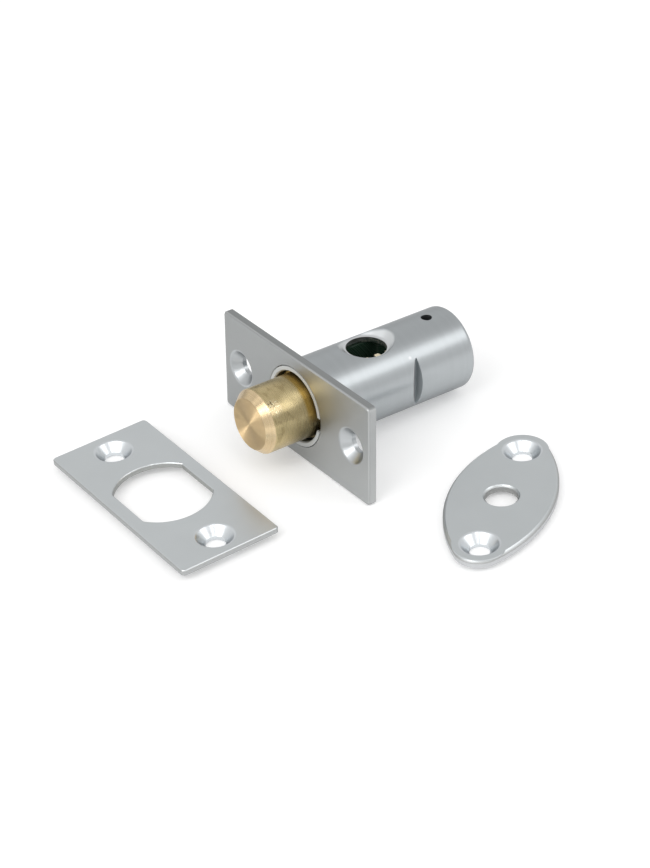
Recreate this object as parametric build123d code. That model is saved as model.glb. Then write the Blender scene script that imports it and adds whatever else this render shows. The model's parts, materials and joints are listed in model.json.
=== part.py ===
from build123d import *
import os
from math import asin, atan2, cos, degrees, floor, radians, sin, sqrt, tan

# A mortice security bolt for a wooden window, with its keep plate and its key plate.
# A splined key goes in through the dished hole in the barrel and drives the rack in the brass bolt.
# The origin is the centre of the faceplate's front face, on the bolt's axis.
# +Y runs back along the barrel, X runs along the faceplate, and +Z is the side of the key hole.
# The bolt is thrown. The barrel leans back on its closed end, and the two loose plates lie beside
# it on the same bench, so they are tilted by that lean. All sizes are in millimetres.

# Faceplate
faceplate_length = 44.0
faceplate_width = 20.0
faceplate_thickness = 1.6
faceplate_corner_radius = 0.8
faceplate_edge_bevel = 0.25
faceplate_hole_bevel = 0.1
faceplate_screw_spacing = 33.6
faceplate_seat_depth = 2.5
faceplate_seat_wall = 1.1

# Screw seats, pressed into all three plates
seat_rim_diameter = 6.9
seat_cone_angle = 90.0
seat_lip_radius = 0.6
screw_hole_diameter = 3.7
seat_blend_width = 0.8

# Barrel
barrel_diameter = 16.0
barrel_length = 35.6
barrel_wall = 1.2
barrel_end_radius = 0.85
barrel_inner_end_bevel = 0.4
spigot_step = 0.3
spigot_bevel = 0.2
spigot_gap = 0.1
rim_notch_width = 2.9
rim_notch_depth = 1.3
rim_notch_offset = -0.45
vent_diameter = 2.1
vent_from_end = 5.45

# Dished key hole
key_place = 16.25
key_hole_diameter = 7.6
dish_depth = 1.45
dish_floor_diameter = 8.1
dish_mouth_diameter = 11.7
dish_floor_round = 1.0
dish_mouth_round = 0.9
dish_lip = 1.0
dish_brim_gap = 0.03

# Crimp that stops the bolt turning and keeps it in the barrel
crimp_from_end = 12.5
crimp_width = 2.2
crimp_depth = 1.7
crimp_flat = 0.25
crimp_rear_lean = 0.25
crimp_web = 0.2

# Bolt
bolt_throw = 10.0
bolt_nose_diameter = 12.24
bolt_nose_flat_diameter = 9.64
bolt_chamfer_length = 1.55
bolt_nose_length = 11.6
bolt_running_gap = 0.05
bolt_edge_break = 0.3
bolt_nose_edge_break = 0.08
bolt_tail_gap = 0.2
bolt_tail_length = 3.0
bolt_flat_gap = 0.25
bolt_flat_start = 10.6
crimp_side_gap = 0.2
crimp_end_gap = 0.1
crimp_front_gap = 0.3

# Key slot and rack
slot_half_width = 3.3
slot_front = 12.2
slot_corner_radius = 1.2
rack_pitch = 2.4
rack_tip_from_axis = 1.3
rack_tooth_depth = 1.6
gullet_mouth = 1.5
gullet_floor = 0.8

# Strike plate
strike_length = 44.0
strike_width = 20.0
strike_thickness = 1.0
strike_corner_radius = 0.8
strike_edge_bevel = 0.2
strike_screw_spacing = 33.5
strike_seat_depth = 2.3
strike_seat_wall = 0.85
strike_hole_diameter = 17.9
strike_hole_across_flats = 14.7
strike_hole_bevel = 0.15

# Escutcheon
escutcheon_length = 39.0
escutcheon_width = 19.0
escutcheon_end_radius = 4.5
escutcheon_thickness = 1.4
escutcheon_edge_bevel = 0.5
escutcheon_screw_spacing = 28.6
escutcheon_seat_depth = 2.2
escutcheon_seat_wall = 0.95
escutcheon_key_hole_diameter = 5.9
escutcheon_key_hole_bevel = 0.35

# How the loose plates lie on the bench, from the foot of the faceplate
strike_across = -3.1
strike_in_front = 27.0
strike_turn = -1.0
escutcheon_across = 37.0
escutcheon_behind = 17.6
escutcheon_turn = 125.0

barrel_radius = barrel_diameter / 2
bore_radius = barrel_radius - barrel_wall
mid_wall_radius = barrel_radius - barrel_wall / 2
spigot_radius = barrel_radius - spigot_step
inner_end = barrel_length - barrel_wall
bolt_length = inner_end - bolt_tail_gap
slot_rear = bolt_length - bolt_tail_length
dish_floor = barrel_radius - dish_depth
key_passage = dish_floor - dish_lip
crimp_valley = barrel_radius - crimp_depth
crimp_tip = crimp_valley - barrel_wall
crimp_rear = barrel_length - crimp_from_end
crimp_front = crimp_rear - crimp_width
crimp_slope = (crimp_width - crimp_flat - crimp_rear_lean) / crimp_depth
crimp_back = crimp_rear + crimp_web
crimp_lead = crimp_front + crimp_slope * barrel_wall - barrel_wall * sqrt(1 + crimp_slope ** 2)


def turned(points, rounds=(), bevels=()):
    # A solid of revolution about Y from (radius, y) points. A round is (point number, radius) and
    # a bevel is (point number, leg).
    # The half turn keeps the seam of each round face away from the crimp and the rim's notch.
    outline = make_face(Polyline(*points, close=True))
    for number, radius in rounds:
        corner = outline.vertices().sort_by_distance(points[number])[0]
        outline = fillet(corner, radius)
    for number, leg in bevels:
        corner = outline.vertices().sort_by_distance(points[number])[0]
        outline = chamfer(corner, leg)
    return Rot(0, 180, 0) * revolve(outline, Axis.Y)


def upright(points, rounds=()):
    # The same about Z, from (radius, z) points.
    return Rot(90, 0, 0) * turned(points, rounds)


def seat_ring(thickness, depth, wall):
    # One pressed screw seat with its top at z = 0, and the radius of plate that it takes up.
    rim = seat_rim_diameter / 2
    hole = screw_hole_diameter / 2
    slope = radians(seat_cone_angle / 2)
    cone_depth = (rim - hole) / tan(slope)
    outside = rim + seat_lip_radius + seat_blend_width
    under_cone = rim + wall / cos(slope)
    heel = under_cone - thickness * tan(slope)
    toe = under_cone - depth * tan(slope)
    points = [(outside, 0), (rim, 0), (hole, -cone_depth), (hole, -depth), (toe, -depth),
              (heel, -thickness), (outside, -thickness)]
    return upright(points, [(1, seat_lip_radius)]), outside


def seated_plate(outline, hole, thickness, edge_bevel, hole_bevel, spacing, depth, wall):
    # A flat plate with its top at z = 0, its top edges eased, and a screw seat at each end.
    plate = extrude(outline - hole, -thickness)
    top = plate.faces().sort_by(Axis.Z)[-1]
    plate = chamfer(top.outer_wire().edges(), edge_bevel)
    top = plate.faces().sort_by(Axis.Z)[-1]
    plate = chamfer(top.inner_wires().edges(), hole_bevel)
    ring, outside = seat_ring(thickness, depth, wall)
    for side in (-1, 1):
        at = Pos(side * spacing / 2, 0, 0)
        plate -= at * Cylinder(outside, 4 * thickness)
        plate += at * ring
    return plate


def make_faceplate():
    outline = RectangleRounded(faceplate_length, faceplate_width, faceplate_corner_radius)
    plate = seated_plate(outline, Circle(spigot_radius + spigot_gap), faceplate_thickness,
                         faceplate_edge_bevel, faceplate_hole_bevel,
                         faceplate_screw_spacing, faceplate_seat_depth, faceplate_seat_wall)
    return Rot(90, 0, 0) * plate


def dish_shapes():
    # The pressed hollow round the key hole, and the metal that it pushes into the bore.
    floor_radius = dish_floor_diameter / 2
    mouth_radius = dish_mouth_diameter / 2
    brim = barrel_radius + dish_brim_gap
    beyond = mouth_radius + dish_mouth_round
    hollow = upright([(0, dish_floor), (floor_radius, dish_floor), (mouth_radius, brim),
                      (beyond, brim), (beyond, 2 * brim), (0, 2 * brim)],
                     [(1, dish_floor_round), (2, dish_mouth_round)])
    slope = atan2(dish_depth, mouth_radius - floor_radius)
    under_flank = dish_lip / sin(slope)
    low = floor_radius + under_flank - dish_lip / tan(slope)
    pushed = upright([(0, key_passage), (low, key_passage),
                      (low + dish_depth / tan(slope), dish_floor + dish_depth - dish_lip),
                      (0, dish_floor + dish_depth - dish_lip)])
    at = Pos(0, key_place, 0)
    return at * hollow, at * pushed


def crimp_shapes():
    # The pressed groove outside, and the tooth that it raises inside, both across the +X side.
    across = extrude(make_face(Polyline(
        (crimp_valley, crimp_rear - crimp_rear_lean),
        (crimp_valley, crimp_rear - crimp_rear_lean - crimp_flat),
        (barrel_radius, crimp_front),
        (2 * barrel_radius, crimp_front - crimp_slope * barrel_radius),
        (2 * barrel_radius, crimp_rear),
        (barrel_radius, crimp_rear),
        close=True)), barrel_radius, both=True)
    raised = extrude(make_face(Polyline(
        (crimp_tip, crimp_back),
        (crimp_tip, crimp_lead + crimp_slope * (bore_radius - crimp_tip)),
        (mid_wall_radius, crimp_lead - crimp_slope * (mid_wall_radius - bore_radius)),
        (mid_wall_radius, crimp_back),
        close=True)), barrel_radius, both=True)
    return across, raised


def make_barrel():
    cup = turned([(bore_radius, 0), (spigot_radius, 0), (spigot_radius, faceplate_thickness),
                  (barrel_radius, faceplate_thickness), (barrel_radius, barrel_length),
                  (0, barrel_length), (0, inner_end), (bore_radius, inner_end)],
                 rounds=[(4, barrel_end_radius)],
                 bevels=[(0, spigot_bevel), (7, barrel_inner_end_bevel)])
    hollow, pushed = dish_shapes()
    groove, raised = crimp_shapes()
    mid_wall = Rot(90, 0, 0) * Cylinder(mid_wall_radius, 4 * barrel_length)
    barrel = cup + (pushed & mid_wall) + (raised & mid_wall)
    barrel -= hollow
    barrel -= groove
    barrel -= Pos(0, key_place, barrel_radius) * Cylinder(key_hole_diameter / 2, barrel_diameter)
    barrel -= Pos(0, barrel_length - vent_from_end, barrel_radius) * Cylinder(vent_diameter / 2,
                                                                              barrel_radius)
    barrel -= Pos(barrel_radius, 0, rim_notch_offset) * Box(barrel_radius, 2 * rim_notch_depth,
                                                            rim_notch_width)
    return barrel


def key_slot():
    # The slot that the key passes through, with the gullets of the rack on its +X side.
    # Places along the bolt are counted from its nose.
    width = slot_half_width + rack_tip_from_axis
    length = slot_rear - slot_front
    slot = Pos(rack_tip_from_axis - width / 2, slot_front + length / 2) * RectangleRounded(
        width, length, slot_corner_radius)
    root = rack_tip_from_axis + rack_tooth_depth
    lean = (gullet_mouth - gullet_floor) / 2 / rack_tooth_depth
    mouth_half = gullet_mouth / 2 + lean * rack_tip_from_axis
    gullet = make_face(Polyline((0, -mouth_half), (root, -gullet_floor / 2),
                                (root, gullet_floor / 2), (0, mouth_half), close=True))
    key_centre = key_place + bolt_throw
    end_margin = slot_corner_radius + gullet_mouth / 2
    behind = floor((slot_rear - end_margin - key_centre) / rack_pitch)
    ahead = floor((key_centre - end_margin - slot_front) / rack_pitch)
    for step in range(-ahead, behind + 1):
        slot += Pos(0, key_centre + step * rack_pitch) * gullet
    return extrude(slot, bore_radius, both=True)


def make_bolt():
    # Turned from the nose back, then slotted and given two flats, and moved out by its throw.
    body_radius = bore_radius - bolt_running_gap
    nose_radius = bolt_nose_diameter / 2
    bolt = turned([(0, 0), (bolt_nose_flat_diameter / 2, 0), (nose_radius, bolt_chamfer_length),
                   (nose_radius, bolt_nose_length), (body_radius, bolt_nose_length),
                   (body_radius, bolt_length), (0, bolt_length)],
                  bevels=[(1, bolt_nose_edge_break), (2, bolt_nose_edge_break),
                          (4, bolt_edge_break), (5, bolt_edge_break)])
    bolt -= key_slot()
    top_flat = key_passage - bolt_flat_gap
    bolt -= Pos(0, bolt_flat_start + bolt_length / 2, top_flat + bore_radius / 2) * Box(
        2 * bore_radius, bolt_length, bore_radius)
    recess_start = crimp_lead - crimp_front_gap
    recess_end = crimp_back + bolt_throw + crimp_end_gap
    side_flat = crimp_tip - crimp_side_gap
    bolt -= Pos(side_flat + bore_radius / 2, (recess_start + recess_end) / 2, 0) * Box(
        bore_radius, recess_end - recess_start, 2 * bore_radius)
    return Pos(0, -bolt_throw, 0) * bolt


def bench():
    # The plane that the bolt lies on, touching the faceplate's foot and the barrel's closed end.
    foot_height = -faceplate_width / 2
    across = (barrel_length - barrel_end_radius) - faceplate_edge_bevel
    up = -(barrel_radius - barrel_end_radius) - foot_height
    lean = atan2(up, across) - asin(barrel_end_radius / sqrt(across ** 2 + up ** 2))
    return Pos(0, faceplate_edge_bevel, foot_height) * Rot(degrees(lean), 0, 0)


def make_strike_plate():
    outline = RectangleRounded(strike_length, strike_width, strike_corner_radius)
    hole = Circle(strike_hole_diameter / 2) & Rectangle(strike_hole_diameter,
                                                        strike_hole_across_flats)
    plate = seated_plate(outline, hole, strike_thickness, strike_edge_bevel,
                         strike_hole_bevel, strike_screw_spacing, strike_seat_depth,
                         strike_seat_wall)
    place = Pos(strike_across, -strike_in_front, strike_seat_depth)
    return bench() * place * Rot(0, 0, strike_turn) * plate


def oval():
    # Four tangent arcs: two long sides and two round ends.
    half_width = escutcheon_width / 2
    end_centre = escutcheon_length / 2 - escutcheon_end_radius
    side_radius = ((end_centre ** 2 + half_width ** 2 - escutcheon_end_radius ** 2)
                   / (2 * (half_width - escutcheon_end_radius)))
    drop = side_radius - half_width
    turn = degrees(atan2(drop, end_centre))
    return make_face([
        CenterArc((end_centre, 0), escutcheon_end_radius, -turn, 2 * turn),
        CenterArc((0, -drop), side_radius, turn, 180 - 2 * turn),
        CenterArc((-end_centre, 0), escutcheon_end_radius, 180 - turn, 2 * turn),
        CenterArc((0, drop), side_radius, 180 + turn, 180 - 2 * turn),
    ])


def make_escutcheon():
    plate = seated_plate(oval(), Circle(escutcheon_key_hole_diameter / 2), escutcheon_thickness,
                         escutcheon_edge_bevel, escutcheon_key_hole_bevel,
                         escutcheon_screw_spacing, escutcheon_seat_depth, escutcheon_seat_wall)
    place = Pos(escutcheon_across, escutcheon_behind, escutcheon_seat_depth)
    return bench() * place * Rot(0, 0, escutcheon_turn) * plate


parts = {
    "faceplate": make_faceplate(),
    "barrel": make_barrel(),
    "bolt": make_bolt(),
    "strike_plate": make_strike_plate(),
    "escutcheon": make_escutcheon(),
}
os.makedirs("parts", exist_ok=True)
for name, solid in parts.items():
    export_step(solid, f"parts/{name}.step")
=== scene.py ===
import json
import math

import bpy
import numpy as np
from mathutils import Matrix, Vector


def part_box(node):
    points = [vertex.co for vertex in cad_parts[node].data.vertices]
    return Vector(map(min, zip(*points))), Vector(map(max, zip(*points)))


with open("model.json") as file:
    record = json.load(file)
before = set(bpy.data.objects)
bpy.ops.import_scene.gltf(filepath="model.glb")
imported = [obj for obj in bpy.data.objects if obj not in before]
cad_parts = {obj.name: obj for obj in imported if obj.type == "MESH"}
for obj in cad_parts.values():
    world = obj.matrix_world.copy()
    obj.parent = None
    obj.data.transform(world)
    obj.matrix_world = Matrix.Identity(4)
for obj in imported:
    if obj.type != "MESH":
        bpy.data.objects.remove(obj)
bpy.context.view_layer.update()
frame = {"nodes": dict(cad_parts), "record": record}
mm = 0.001
nodes = frame["nodes"]
mounts = {mount["name"]: mount for mount in frame["record"]["mounts"]}
print("frame loaded:", ", ".join(sorted(nodes)))


# The bolt leans back on the closed end of its barrel. The bench it lies on is found from the meshes.
benchSearch = {"steepest": 12, "halvings": 40}  # the steepest lean is in degrees


def cornersOf(*names):
    return np.array([vertex.co[:] for name in names for vertex in nodes[name].data.vertices])


def lowest(points, lean):
    return (points @ np.array([0, -math.sin(lean), math.cos(lean)])).min()


def findBench():
    plate, barrel = cornersOf("faceplate"), cornersOf("barrel")
    flat, steep = 0.0, math.radians(benchSearch["steepest"])
    for halving in range(benchSearch["halvings"]):
        lean = (flat + steep) / 2
        if lowest(plate, lean) < lowest(barrel, lean):
            flat = lean
        else:
            steep = lean
    height = lowest(cornersOf(*nodes), lean)
    return lean, Matrix.Rotation(lean, 4, "X") @ Matrix.Translation((0, 0, height))


lean, bench = findBench()
print("bench leans", round(math.degrees(lean), 3), "degrees under the bolt")


# Small helpers for node trees
class Tree:
    def __init__(self, tree):
        self.tree = tree

    def node(self, kind, **settings):
        made = self.tree.nodes.new(kind)
        for name, value in settings.items():
            setattr(made, name, value)
        return made

    def put(self, value, socket):
        if isinstance(value, bpy.types.NodeSocket):
            self.tree.links.new(value, socket)
        else:
            socket.default_value = value

    def math(self, operation, *values, clamp=False):
        made = self.node("ShaderNodeMath", operation=operation, use_clamp=clamp)
        for value, socket in zip(values, made.inputs):
            self.put(value, socket)
        return made.outputs[0]

    def vector(self, operation, *values):
        made = self.node("ShaderNodeVectorMath", operation=operation)
        for value, socket in zip(values, made.inputs):
            self.put(value, socket)
        return made.outputs["Value" if operation in ("LENGTH", "DISTANCE") else "Vector"]

    def split(self, vector):
        made = self.node("ShaderNodeSeparateXYZ")
        self.put(vector, made.inputs[0])
        return made.outputs

    def join(self, x, y, z):
        made = self.node("ShaderNodeCombineXYZ")
        for value, socket in zip((x, y, z), made.inputs):
            self.put(value, socket)
        return made.outputs[0]

    def fade(self, value, start, end, low=0.0, high=1.0):
        made = self.node("ShaderNodeMapRange", interpolation_type="SMOOTHSTEP")
        for given, name in ((value, "Value"), (start, "From Min"), (end, "From Max"), (low, "To Min"),
                            (high, "To Max")):
            self.put(given, made.inputs[name])
        return made.outputs["Result"]

    def near(self, place, look):
        full = 0.4 * look["reach"]
        return self.fade(self.vector("DISTANCE", place, look["place"]), look["reach"], full)

    def both(self, *masks):
        result = masks[0]
        for mask in masks[1:]:
            result = self.math("MULTIPLY", result, mask)
        return result

    def outside(self, mask):
        return self.math("SUBTRACT", 1.0, mask)

    def raised(self, value, mask, amount):
        return self.math("ADD", value, self.math("MULTIPLY", mask, amount))

    def blend(self, factor, first, second):
        made = self.node("ShaderNodeMix", data_type="RGBA")
        self.put(factor, made.inputs[0])
        self.put(first, made.inputs[6])
        self.put(second, made.inputs[7])
        return made.outputs[2]

    def noise(self, place, scale, detail=2.0, roughness=0.5, dimensions="3D"):
        made = self.node("ShaderNodeTexNoise", noise_dimensions=dimensions)
        self.put(place, made.inputs["W" if dimensions == "1D" else "Vector"])
        self.put(scale, made.inputs["Scale"])
        self.put(detail, made.inputs["Detail"])
        self.put(roughness, made.inputs["Roughness"])
        return made.outputs["Fac"]


def newGroup(name, inputs, outputs):
    group = bpy.data.node_groups.new(name, "ShaderNodeTree")
    for label, kind, value in inputs:
        socket = group.interface.new_socket(label, in_out="INPUT", socket_type="NodeSocket" + kind)
        if value is not None:
            socket.default_value = value
    for label, kind in outputs:
        group.interface.new_socket(label, in_out="OUTPUT", socket_type="NodeSocket" + kind)
    tree = Tree(group)
    return group, tree, tree.node("NodeGroupInput").outputs, tree.node("NodeGroupOutput").inputs


def useGroup(tree, group, **values):
    made = tree.node("ShaderNodeGroup", node_tree=group)
    for label, value in values.items():
        tree.put(value, made.inputs[label])
    return made.outputs


# Fine grain that every finish shares: an even grain and a slow drift of tone
def makeGrain():
    group, tree, given, out = newGroup(
        "finishGrain",
        [("Place", "Vector", None), ("Grain", "Float", 12.0), ("Drift", "Float", 0.12)],
        [("Height", "Float"), ("Tone", "Float")])
    tree.put(tree.noise(given["Place"], given["Grain"], detail=3.0, roughness=0.6), out["Height"])
    tree.put(tree.noise(given["Place"], given["Drift"]), out["Tone"])
    return group


# Where a pressed plate is dished for its screws, rounded at its rim or cut through.
# A pair is where a zone begins and where it is full, in millimetres.
zoneEdges = {
    "seat": (0.15, -0.15), "beyondSeat": (0.5, 0.9), "top": -0.02, "wall": (-0.02, 0.1),
    "beyondHole": (0.0, 0.3), "longEdge": (-0.4, -0.1),
}


def makePlateZones():
    group, tree, given, out = newGroup(
        "plateZones",
        [("Place", "Vector", None), ("Half Spacing", "Float", 16.8), ("Seat Radius", "Float", 3.65),
         ("Rim Depth", "Float", 0.3), ("Half Width", "Float", 10.0), ("Hole Radius", "Float", 9.0)],
        [("Seat", "Float"), ("Rim", "Float"), ("Wall", "Float"), ("Long Edge", "Float")])
    x, y, z = tree.split(given["Place"])
    along = tree.math("SUBTRACT", tree.math("ABSOLUTE", x), given["Half Spacing"])
    fromScrew = tree.vector("LENGTH", tree.join(along, y, 0.0))
    fromSeat = tree.math("SUBTRACT", fromScrew, given["Seat Radius"])
    fromAxis = tree.vector("LENGTH", tree.join(x, y, 0.0))
    fromHole = tree.math("SUBTRACT", fromAxis, given["Hole Radius"])
    fromEdge = tree.math("SUBTRACT", tree.math("ABSOLUTE", y), given["Half Width"])
    depth = tree.math("MULTIPLY", z, -1.0)
    belowRim = tree.math("SUBTRACT", depth, given["Rim Depth"])
    beyondSeat = tree.fade(fromSeat, *zoneEdges["beyondSeat"])
    rim = tree.fade(z, zoneEdges["top"], tree.math("MULTIPLY", given["Rim Depth"], -1.0))
    wall = tree.both(tree.fade(belowRim, *zoneEdges["wall"]), beyondSeat,
                     tree.fade(fromHole, *zoneEdges["beyondHole"]))
    tree.put(tree.fade(fromSeat, *zoneEdges["seat"]), out["Seat"])
    tree.put(tree.both(rim, beyondSeat), out["Rim"])
    tree.put(wall, out["Wall"])
    tree.put(tree.both(tree.fade(fromEdge, *zoneEdges["longEdge"]), wall), out["Long Edge"])
    return group


# Rings that a lathe tool leaves, counted along the axis and across the end face
turningLook = {"waverScale": 0.6, "fineDetail": 3.0, "fineRoughness": 0.65, "broadShare": 0.22}


def makeTurning():
    group, tree, given, out = newGroup(
        "latheLines",
        [("Place", "Vector", None), ("Pitch", "Float", 5.0), ("Waver", "Float", 0.15)],
        [("Height", "Float"), ("Tone", "Float")])
    x, y, z = tree.split(given["Place"])
    radius = tree.vector("LENGTH", tree.join(x, 0.0, z))
    waver = tree.noise(given["Place"], turningLook["waverScale"])
    count = tree.raised(tree.math("ADD", y, radius), waver, given["Waver"])
    broadPitch = tree.math("MULTIPLY", given["Pitch"], turningLook["broadShare"])
    fine = tree.noise(count, given["Pitch"], turningLook["fineDetail"], turningLook["fineRoughness"],
                      dimensions="1D")
    broad = tree.noise(count, broadPitch, dimensions="1D")
    tree.put(fine, out["Height"])
    tree.put(broad, out["Tone"])
    return group


grainGroup = makeGrain()
zonesGroup = makePlateZones()
turningGroup = makeTurning()
print("shared effects built")


def newFinish(name):
    material = bpy.data.materials.new(name)
    material.use_nodes = True
    material.node_tree.nodes.clear()
    tree = Tree(material.node_tree)
    metal = tree.node("ShaderNodeBsdfPrincipled")
    output = tree.node("ShaderNodeOutputMaterial")
    tree.put(metal.outputs[0], output.inputs["Surface"])
    metal.inputs["Metallic"].default_value = 1.0
    return material, tree, metal


def wear(node, material):
    node.data.materials.clear()
    node.data.materials.append(material)


def inMillimetres(tree):
    place = tree.node("ShaderNodeTexCoord").outputs["Object"]
    return tree.vector("MULTIPLY", place, (1 / mm, 1 / mm, 1 / mm))


def bump(tree, height, depth, under=None):
    made = tree.node("ShaderNodeBump")
    made.inputs["Distance"].default_value = depth * mm
    tree.put(height, made.inputs["Height"])
    if under is not None:
        tree.put(under, made.inputs["Normal"])
    return made.outputs[0]


def shade(colour, amount):
    return [amount * part for part in colour[:3]] + [1]


def mottled(tree, tone, colour, spread):
    return tree.blend(tone, shade(colour, 1 - spread), shade(colour, 1 + spread))


def varied(tree, height, middle, spread):
    # A roughness that follows the grain to half its spread on each side of the middle
    return tree.math("ADD", tree.math("MULTIPLY", height, spread), middle - spread / 2)


def patches(tree, where, look):
    # Irregular patches: crumbled noise, cut off at its edge
    scaled = tree.vector("MULTIPLY", where, look["scale"])
    return tree.fade(tree.noise(scaled, 1.0, look["detail"], look["crumble"]), *look["edge"])


def paint(tree, colour, look, *masks):
    return tree.blend(tree.both(*masks, look["amount"]), colour, look["colour"])


# Pressed plates in satin chrome, with polished screw seats. A plate's top is counted from its mount,
# and its turn is the angle of its long side on the bench.
plateLooks = {
    "faceplate": {
        "mount": "faceplate_screws", "turn": None, "top": 2.225, "halfSpacing": 16.8,
        # Its tones, darker at the left end and lighter at the right, are a painted reflection.
        "rimDepth": 0.25, "hole": 8.5, "colour": (0.40, 0.412, 0.412, 1), "paintedReflectionAcross": (0.93, 1.12),
        "roughness": 0.41, "grazing": 0.7,
        "seat": (0.50, 0.52, 0.53, 1), "seatRoughness": 0.34,
        "rim": (0.45, 0.46, 0.46, 1), "wall": (0.53, 0.54, 0.54, 1),
        "sheared": {"colour": (0.29, 0.30, 0.30, 1), "amount": 0.8},
        # Its lighter, warm patch beside the nose is a painted reflection of the brass.
        "paintedLightPatch": {"place": (7.0, 6.5, 0.0), "reach": 6.5, "colour": (0.51, 0.507, 0.475, 1), "amount": 0.6},
    },
    "strike_plate": {
        "mount": "strike_screws", "turn": -1.0, "top": 2.125, "halfSpacing": 16.75,
        "rimDepth": 0.2, "hole": 9.3, "colour": (0.63, 0.66, 0.67, 1), "paintedReflectionAcross": (1.0, 1.0),
        "roughness": 0.32, "grazing": 0.6,
        "seat": (0.70, 0.73, 0.75, 1), "seatRoughness": 0.30,
        "rim": (0.42, 0.43, 0.42, 1), "wall": (0.48, 0.49, 0.49, 1),
    },
    "escutcheon": {
        "mount": "escutcheon_screws", "turn": 125.0, "top": 2.075, "halfSpacing": 14.3,
        "rimDepth": 0.5, "hole": 4.0, "colour": (0.60, 0.63, 0.64, 1), "paintedReflectionAcross": (1.0, 1.0),
        "roughness": 0.33, "grazing": 0.58,
        "seat": (0.70, 0.73, 0.75, 1), "seatRoughness": 0.30,
        "rim": (0.42, 0.425, 0.42, 1), "wall": (0.62, 0.63, 0.64, 1),
    },
}
allPlates = {
    "mottle": 0.04, "paintedReflectionSpan": 20.0, "grainRoughness": 0.08, "rimRoughness": 0.25, "grainHeight": 0.004,
}


def platePlace(look):
    # The middle of the plate's top face, with X along the plate and Z up out of it
    mount = mounts[look["mount"]]
    up = Vector(mount["axis"]).normalized()
    middle = Vector(mount["pos_m"]) + up * look["top"] * mm
    if look["turn"] is None:
        along = Vector((1, 0, 0))
    else:
        turn = math.radians(look["turn"])
        along = bench.to_3x3() @ Vector((math.cos(turn), math.sin(turn), 0))
    across = up.cross(along)
    return Matrix((along, across, up)).transposed().to_4x4(), middle


def plateFinish(name, look):
    material, tree, metal = newFinish("satinChrome_" + name)
    turned, middle = platePlace(look)
    place = tree.node("ShaderNodeMapping", vector_type="TEXTURE")
    place.inputs["Location"].default_value = middle
    place.inputs["Rotation"].default_value = turned.to_euler()
    place.inputs["Scale"].default_value = (mm, mm, mm)
    tree.put(tree.node("ShaderNodeTexCoord").outputs["Object"], place.inputs["Vector"])
    where = place.outputs[0]
    zones = useGroup(tree, zonesGroup, **{"Place": where, "Half Spacing": look["halfSpacing"],
                                          "Rim Depth": look["rimDepth"], "Hole Radius": look["hole"]})
    grain = useGroup(tree, grainGroup, Place=where)
    # The faceplate is painted darker at its left end and lighter at its right, a painted reflection; the
    # loose plates keep one tone.
    left, right = (mottled(tree, grain["Tone"], shade(look["colour"], tone), allPlates["mottle"])
                   for tone in look["paintedReflectionAcross"])
    along = tree.split(where)["X"]
    colour = tree.blend(tree.fade(along, -allPlates["paintedReflectionSpan"], allPlates["paintedReflectionSpan"]), left, right)
    # A painted reflection of the brass nose: a lighter, warm patch beside it.
    if "paintedLightPatch" in look:
        colour = paint(tree, colour, look["paintedLightPatch"], tree.near(where, look["paintedLightPatch"]))
    colour = tree.blend(zones["Seat"], colour, look["seat"])
    colour = tree.blend(zones["Rim"], colour, look["rim"])
    colour = tree.blend(zones["Wall"], colour, look["wall"])
    if "sheared" in look:
        colour = paint(tree, colour, look["sheared"], zones["Long Edge"])
    tree.put(colour, metal.inputs["Base Color"])
    roughness = varied(tree, grain["Height"], look["roughness"], allPlates["grainRoughness"])
    roughness = tree.raised(roughness, zones["Seat"], look["seatRoughness"] - look["roughness"])
    roughness = tree.raised(roughness, zones["Rim"], allPlates["rimRoughness"])
    tree.put(roughness, metal.inputs["Roughness"])
    metal.inputs["Specular Tint"].default_value = (look["grazing"],) * 3 + (1,)
    grainy = tree.both(grain["Height"], tree.outside(zones["Seat"]))
    tree.put(bump(tree, grainy, allPlates["grainHeight"]), metal.inputs["Normal"])
    return material


for name, look in plateLooks.items():
    wear(nodes[name], plateFinish(name, look))
print("plates finished")


# Drawn barrel: satin outside, oily inside and painted near black there as shade, with painted light in the
# key hole's dish, on the crimp's front flank and at its corner.
# A pair is where a patch begins and where it is full, in millimetres in the part's own frame.
barrelLook = {
    "colour": (0.44, 0.465, 0.478, 1), "mottle": 0.06, "grazing": 0.62,
    "roughness": 0.33, "grainRoughness": 0.08, "pitch": 4.0, "linesHeight": 0.002,
    "frontRim": {"colour": (0.60, 0.62, 0.62, 1), "amount": 1.0, "depth": (0.5, 0.4),
                 "radius": (6.7, 6.85), "rougher": 0.2},
    # The crimp's front flank is painted lighter and less metallic: painted light.
    "crimp": {"colour": (0.62, 0.64, 0.65, 1), "amount": 1.0, "front": (20.8, 20.9),
              "middle": (22.5, 22.1), "radius": (7.98, 7.92), "side": (5.0, 5.2)},
    # Metal is lowered on the crimp's painted-light flank and on the rubbed front rim.
    "litAndRubbedMetal": 0.6,
    # A painted glint at the crimp's upper front corner.
    "crimpGlint": {"colour": (0.56, 0.57, 0.58, 1), "amount": 1.0, "place": (6.05, 21.6, 5.2), "reach": 0.42},
    # The dish is painted lighter than the tube: a painted highlight where its far wall faces the light.
    "dishHighlight": {"colour": (0.70, 0.72, 0.73, 1), "amount": 1.0, "keyAxis": 16.25, "reach": (5.9, 5.8),
             "height": (0.0, 1.0), "radius": (8.0, 7.6)},
    # Inside, oily steel is painted near black as shade, in darker and paler patches.
    "inside": {"colour": (0.012, 0.024, 0.017, 1), "pale": (0.11, 0.11, 0.095, 1),
               "radius": (6.82, 6.8), "rim": (1.0, 1.3), "end": (34.7, 34.5),
               "dishFloor": (6.5, 6.45), "crimpFloor": (6.25, 6.2), "rougher": 0.3},
    "grime": {"scale": (2.2, 2.2, 2.2), "detail": 3.0, "crumble": 0.65, "edge": (0.42, 0.66)},
}


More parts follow.
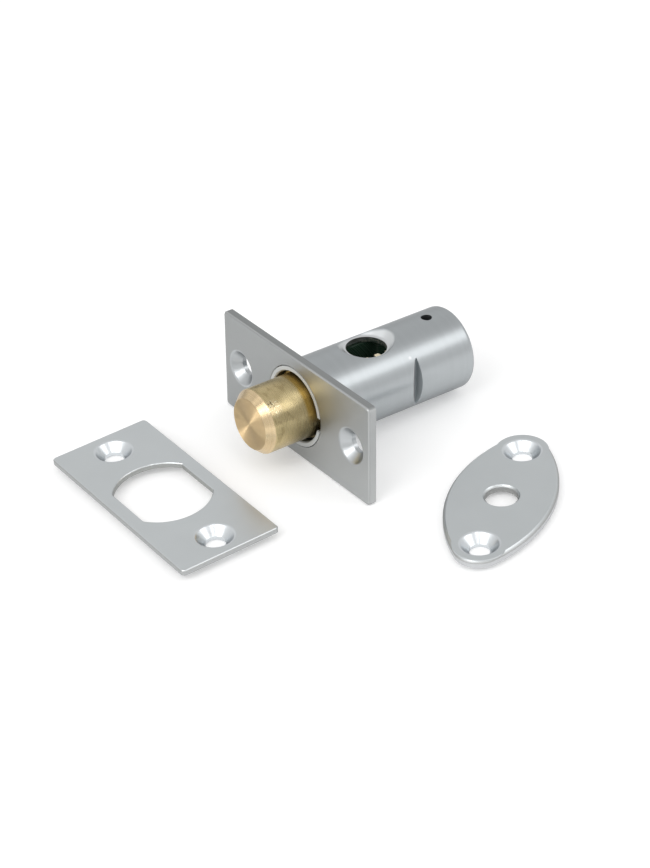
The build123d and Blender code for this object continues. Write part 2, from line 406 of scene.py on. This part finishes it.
def barrelFinish():
    material, tree, metal = newFinish("satinChrome_barrel")
    where = inMillimetres(tree)
    x, y, z = tree.split(where)
    radius = tree.vector("LENGTH", tree.join(x, 0.0, z))
    grain = useGroup(tree, grainGroup, Place=where)
    lines = useGroup(tree, turningGroup, Place=where, Pitch=barrelLook["pitch"])
    frontRim, crimp, dishHighlight, inside = (barrelLook[name] for name in ("frontRim", "crimp", "dishHighlight", "inside"))
    onRim = tree.both(tree.fade(y, *frontRim["depth"]), tree.fade(radius, *frontRim["radius"]))
    litCrimpFlank = tree.both(tree.fade(y, *crimp["front"]), tree.fade(y, *crimp["middle"]),
                      tree.fade(radius, *crimp["radius"]), tree.fade(x, *crimp["side"]))
    fromKey = tree.vector("LENGTH", tree.join(x, tree.math("SUBTRACT", y, dishHighlight["keyAxis"]), 0.0))
    dishHighlightMask = tree.both(tree.fade(fromKey, *dishHighlight["reach"]), tree.fade(z, *dishHighlight["height"]),
                       tree.fade(radius, *dishHighlight["radius"]))
    within = tree.both(tree.fade(radius, *inside["radius"]), tree.fade(y, *inside["rim"]),
                       tree.fade(y, *inside["end"]), tree.fade(z, *inside["dishFloor"]),
                       tree.fade(x, *inside["crimpFloor"]))
    tone = tree.math("MULTIPLY", tree.math("ADD", grain["Tone"], lines["Tone"]), 0.5)
    colour = mottled(tree, tone, barrelLook["colour"], barrelLook["mottle"])
    # Painted highlight in the key hole's dish.
    colour = paint(tree, colour, dishHighlight, dishHighlightMask)
    colour = paint(tree, colour, frontRim, onRim)
    # Painted light on the crimp's front flank.
    colour = paint(tree, colour, crimp, litCrimpFlank)
    # Painted glint at the crimp's corner.
    colour = paint(tree, colour, barrelLook["crimpGlint"], tree.near(where, barrelLook["crimpGlint"]))
    grime = patches(tree, where, barrelLook["grime"])
    # Painted shade: the oily inside is painted near black, in patches.
    colour = tree.blend(within, colour, tree.blend(grime, inside["colour"], inside["pale"]))
    tree.put(colour, metal.inputs["Base Color"])
    roughness = varied(tree, grain["Height"], barrelLook["roughness"], barrelLook["grainRoughness"])
    roughness = tree.raised(roughness, onRim, frontRim["rougher"])
    roughness = tree.raised(roughness, within, inside["rougher"])
    tree.put(roughness, metal.inputs["Roughness"])
    # Less metal where the crimp's flank is painted light and where the front rim is rubbed.
    sheenAndRubbed = tree.both(tree.math("MAXIMUM", litCrimpFlank, onRim), barrelLook["litAndRubbedMetal"])
    tree.put(tree.math("SUBTRACT", tree.outside(sheenAndRubbed), within, clamp=True), metal.inputs["Metallic"])
    metal.inputs["Specular Tint"].default_value = (barrelLook["grazing"],) * 3 + (1,)
    tree.put(bump(tree, lines["Height"], barrelLook["linesHeight"]), metal.inputs["Normal"])
    return material


wear(nodes["barrel"], barrelFinish())
print("barrel finished")


# Turned brass bolt, oily in its slot and painted near black there as shade, with painted glints on the
# tips of its teeth and painted light and shade on its nose.
# A pair is where a patch begins and where it is full, in millimetres in the part's own frame.
boltLook = {
    "colour": (0.65, 0.49, 0.28, 1), "pale": (0.80, 0.635, 0.405, 1),
    "roughness": 0.27, "linesRoughness": 0.12, "faceRoughness": 0.53,
    "pitch": 6.0, "linesHeight": 0.0025, "grain": 9.0, "drift": 0.3, "grainHeight": 0.006,
    "side": {"colour": (0.47, 0.375, 0.19, 1), "pale": (0.70, 0.57, 0.32, 1), "edge": (-8.55, -8.35)},
    "streaks": {"colour": (0.36, 0.32, 0.16, 1), "amount": 0.5, "scale": (0.5, 6.0, 0.5),
                "detail": 3.0, "crumble": 0.6, "edge": (0.56, 0.68)},
    "stains": {"colour": (0.34, 0.26, 0.12, 1), "amount": 0.5, "scale": (0.55, 0.9, 0.55),
               "detail": 3.0, "crumble": 0.6, "edge": (0.50, 0.66)},
    "scar": {"colour": (0.80, 0.635, 0.405, 1), "amount": 0.5, "place": (4.17, -7.35, 4.48), "reach": 2.1,
             "pitScale": 2.2, "pitDetail": 3.0, "pitCrumble": 0.6, "pitDepth": 0.05},
    "glints": {"colour": (0.88, 0.84, 0.56, 1), "amount": 1.0, "scale": (3.2, 3.2, 3.2),
               "detail": 2.0, "crumble": 0.5, "edge": (0.55, 0.62)},
    "nick": {"colour": (0.14, 0.09, 0.04, 1), "amount": 1.0, "place": (3.55, -7.7, 4.95), "reach": 0.9,
             "scale": (2.6, 2.6, 2.6), "detail": 2.0, "crumble": 0.5, "edge": (0.50, 0.58)},
    "face": {"colour": (0.78, 0.595, 0.345, 1), "amount": 0.7, "edge": (-9.85, -9.95)},
    # A painted shade that dims the lamp's reflection on the chamfer's upper -X side.
    "chamfer": {"colour": (0.36, 0.275, 0.16, 1), "amount": 0.8, "place": (-3.9, -9.2, 3.9), "reach": 3.6},
    # A painted highlight on the upper +X side of the nose.
    "sheenAndRubbed": {"colour": (0.76, 0.625, 0.35, 1), "amount": 0.6, "place": (3.93, -3.4, 4.69), "reach": 2.8},
    # Painted shade: darker towards the bottom of the nose.
    "under": {"colour": (0.17, 0.14, 0.07, 1), "amount": 0.85, "along": (-7.0, -0.8),
              "height": (2.0, -2.0)},
    # Painted shade in two bands at the back of the nose, where it meets the barrel's rim.
    "paintedLightPatch": {"colour": (0.45, 0.295, 0.075, 1), "amount": 1.0, "along": (-1.7, -0.9),
             "height": (-1.0, 2.5)},
    "rear": {"colour": (0.45, 0.295, 0.08, 1), "amount": 1.0, "along": (-0.9, -0.3),
             "height": (-1.0, 2.5)},
    # Painted glints on the tips of the teeth, and painted shade, near black, in the slot around them.
    "teeth": {"colour": (0.93, 0.82, 0.60, 1), "amount": 1.0, "side": (1.15, 1.25), "height": (4.2, 4.8)},
    "slot": {"colour": (0.016, 0.034, 0.022, 1), "amount": 1.0, "front": (1.6, 1.7),
             "rear": (21.9, 21.8), "side": (4.2, 4.1)},
}


def boltFinish():
    material, tree, metal = newFinish("turnedBrass")
    where = inMillimetres(tree)
    x, y, z = tree.split(where)
    grain = useGroup(tree, grainGroup, Place=where, Grain=boltLook["grain"], Drift=boltLook["drift"])
    lines = useGroup(tree, turningGroup, Place=where, Pitch=boltLook["pitch"])
    sideLook, scarLook, nickLook = (boltLook[name] for name in ("side", "scar", "nick"))
    slot, teeth = boltLook["slot"], boltLook["teeth"]
    side = tree.fade(y, *sideLook["edge"])
    face = tree.fade(y, *boltLook["face"]["edge"])
    chamfer = tree.both(tree.outside(face), tree.outside(side))
    scar = tree.near(where, scarLook)
    inSlot = tree.both(tree.fade(y, *slot["front"]), tree.fade(y, *slot["rear"]),
                       tree.fade(tree.math("ABSOLUTE", x), *slot["side"]))
    onTeeth = tree.both(tree.fade(x, *teeth["side"]), tree.fade(z, *teeth["height"]))
    slotShade = tree.both(inSlot, tree.outside(onTeeth))
    colour = tree.blend(lines["Tone"], boltLook["colour"], boltLook["pale"])
    colour = tree.blend(side, colour, tree.blend(grain["Tone"], sideLook["colour"], sideLook["pale"]))
    for name in ("streaks", "stains"):
        colour = paint(tree, colour, boltLook[name], patches(tree, where, boltLook[name]), side)
    colour = paint(tree, colour, scarLook, scar)
    colour = paint(tree, colour, boltLook["glints"], scar, patches(tree, where, boltLook["glints"]))
    colour = paint(tree, colour, nickLook, tree.near(where, nickLook), patches(tree, where, nickLook))
    colour = paint(tree, colour, boltLook["face"], face)
    # Painted shade on the chamfer's upper -X side.
    colour = paint(tree, colour, boltLook["chamfer"], tree.near(where, boltLook["chamfer"]), chamfer)
    # Painted highlight on the nose's upper side.
    colour = paint(tree, colour, boltLook["sheenAndRubbed"], tree.near(where, boltLook["sheenAndRubbed"]))
    # Painted shade under the nose and in two bands where it meets the barrel.
    for name in ("under", "paintedLightPatch", "rear"):
        patch = boltLook[name]
        colour = paint(tree, colour, patch, tree.fade(y, *patch["along"]), tree.fade(z, *patch["height"]))
    # Painted glints on the teeth tips; painted shade in the rest of the slot.
    colour = paint(tree, colour, teeth, inSlot, onTeeth)
    colour = paint(tree, colour, slot, slotShade)
    tree.put(colour, metal.inputs["Base Color"])
    tree.put(tree.outside(slotShade), metal.inputs["Metallic"])
    roughness = varied(tree, lines["Height"], boltLook["roughness"], boltLook["linesRoughness"])
    roughness = tree.raised(roughness, face, boltLook["faceRoughness"] - boltLook["roughness"])
    tree.put(roughness, metal.inputs["Roughness"])
    fromAxis = tree.vector("NORMALIZE", tree.join(x, 0.0, z))
    tree.put(tree.vector("ADD", fromAxis, (0.0, 1.0, 0.0)), metal.inputs["Tangent"])
    metal.inputs["Anisotropic"].default_value = 1.0
    pits = tree.noise(where, scarLook["pitScale"], scarLook["pitDetail"], scarLook["pitCrumble"])
    grained = bump(tree, grain["Height"], boltLook["grainHeight"])
    pitted = bump(tree, tree.both(pits, scar), scarLook["pitDepth"], under=grained)
    tree.put(bump(tree, lines["Height"], boltLook["linesHeight"], under=pitted), metal.inputs["Normal"])
    return material


wear(nodes["bolt"], boltFinish())
print("bolt finished")


# Pale floor on the bench and an even world
stageLook = {
    "half": 3.0, "floorColour": (0.80, 0.80, 0.80, 1), "lift": 0.26, "worldTop": 0.72,
    "worldSide": 0.82, "topBegins": 0.55, "topFull": 0.85,
}


def makeFloor():
    half = stageLook["half"]
    mesh = bpy.data.meshes.new("floor")
    mesh.from_pydata([(-half, -half, 0), (half, -half, 0), (half, half, 0), (-half, half, 0)], [],
                     [(0, 1, 2, 3)])
    floor = bpy.data.objects.new("floor", mesh)
    bpy.context.scene.collection.objects.link(floor)
    floor.matrix_world = bench
    material = bpy.data.materials.new("paleFloor")
    material.use_nodes = True
    material.node_tree.nodes.clear()
    tree = Tree(material.node_tree)
    paper = tree.node("ShaderNodeBsdfDiffuse")
    paper.inputs["Color"].default_value = stageLook["floorColour"]
    glow = tree.node("ShaderNodeEmission")
    path = tree.node("ShaderNodeLightPath")
    seen = tree.math("ADD", path.outputs["Is Camera Ray"],
                     tree.math("ADD", path.outputs["Is Glossy Ray"],
                               path.outputs["Is Transmission Ray"]), clamp=True)
    tree.put(tree.math("MULTIPLY", seen, stageLook["lift"]), glow.inputs["Strength"])
    both = tree.node("ShaderNodeAddShader")
    tree.put(paper.outputs[0], both.inputs[0])
    tree.put(glow.outputs[0], both.inputs[1])
    tree.put(both.outputs[0], tree.node("ShaderNodeOutputMaterial").inputs["Surface"])
    mesh.materials.append(material)


def makeWorld():
    world = bpy.data.worlds.new("studio")
    bpy.context.scene.world = world
    world.use_nodes = True
    world.node_tree.nodes.clear()
    tree = Tree(world.node_tree)
    height = tree.split(tree.node("ShaderNodeTexCoord").outputs["Generated"])["Z"]
    light = tree.fade(height, stageLook["topBegins"], stageLook["topFull"],
                      stageLook["worldSide"], stageLook["worldTop"])
    glow = tree.node("ShaderNodeBackground")
    glow.inputs["Color"].default_value = (1, 1, 1, 1)
    tree.put(light, glow.inputs["Strength"])
    tree.put(glow.outputs[0], tree.node("ShaderNodeOutputWorld").inputs["Surface"])


# Each soft box faces the bolt. It is turned from +X towards +Y and raised by so many degrees.
softBoxes = {
    "front": {"turn": -80, "height": 39, "away": 0.8, "size": (0.42, 0.48), "watts": 1.55},
    "left": {"turn": -124, "height": 50, "away": 0.8, "size": (0.24, 0.26), "watts": 0.14},
    "rear": {"turn": 42, "height": 38, "away": 0.8, "size": (0.58, 0.28), "watts": 0.78},
    "topFront": {"turn": -57, "height": 60, "away": 0.8, "size": (0.17, 0.30), "watts": 0.42},
    "topRear": {"turn": -13, "height": 60, "away": 0.8, "size": (0.17, 0.30), "watts": 0.42},
}


def makeSoftBox(name, look):
    lamp = bpy.data.lights.new(name, "AREA")
    lamp.shape = "RECTANGLE"
    lamp.size, lamp.size_y = look["size"]
    lamp.energy = look["watts"]
    holder = bpy.data.objects.new(name, lamp)
    bpy.context.scene.collection.objects.link(holder)
    turn, height = math.radians(look["turn"]), math.radians(look["height"])
    level = Vector((math.cos(turn), math.sin(turn), 0)) * math.cos(height)
    towards = bench.to_3x3() @ (level + Vector((0, 0, math.sin(height))))
    facing = towards.to_track_quat("Z", "Y").to_matrix().to_4x4()
    holder.matrix_world = Matrix.Translation(towards * look["away"]) @ facing


makeFloor()
makeWorld()
for name, look in softBoxes.items():
    makeSoftBox(name, look)
print("floor and lights placed")


# Camera, placed from the middle of the foot of the faceplate's front, in millimetres and degrees
cameraLook = {
    "eye": (309.27, -204.59, 256.78), "yaw": -55.649, "pitch": 34.31, "roll": 4.04, "lens": 102.66,
    "sensor": 36.0, "nearest": 0.01, "farthest": 20.0,
}


def makeCamera():
    data = bpy.data.cameras.new("photoCamera")
    data.sensor_width = cameraLook["sensor"]
    data.lens = cameraLook["lens"]
    data.clip_start, data.clip_end = cameraLook["nearest"], cameraLook["farthest"]
    camera = bpy.data.objects.new("photoCamera", data)
    bpy.context.scene.collection.objects.link(camera)
    yaw, pitch, roll = (math.radians(cameraLook[name]) for name in ("yaw", "pitch", "roll"))
    forward = Vector((math.sin(yaw) * math.cos(pitch), math.cos(yaw) * math.cos(pitch),
                      -math.sin(pitch)))
    levelRight = Vector((math.cos(yaw), -math.sin(yaw), 0))
    levelDown = forward.cross(levelRight)
    right = math.cos(roll) * levelRight + math.sin(roll) * levelDown
    down = math.cos(roll) * levelDown - math.sin(roll) * levelRight
    turned = Matrix((right, -down, -forward)).transposed().to_4x4()
    footOfPlate = Matrix.Translation((0, 0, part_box("faceplate")[0].z)) @ Matrix.Rotation(lean, 4, "X")
    camera.matrix_world = footOfPlate @ Matrix.Translation(Vector(cameraLook["eye"]) * mm) @ turned
    bpy.context.scene.camera = camera


makeCamera()
bpy.context.scene.view_settings.view_transform = "Standard"
print("camera placed")
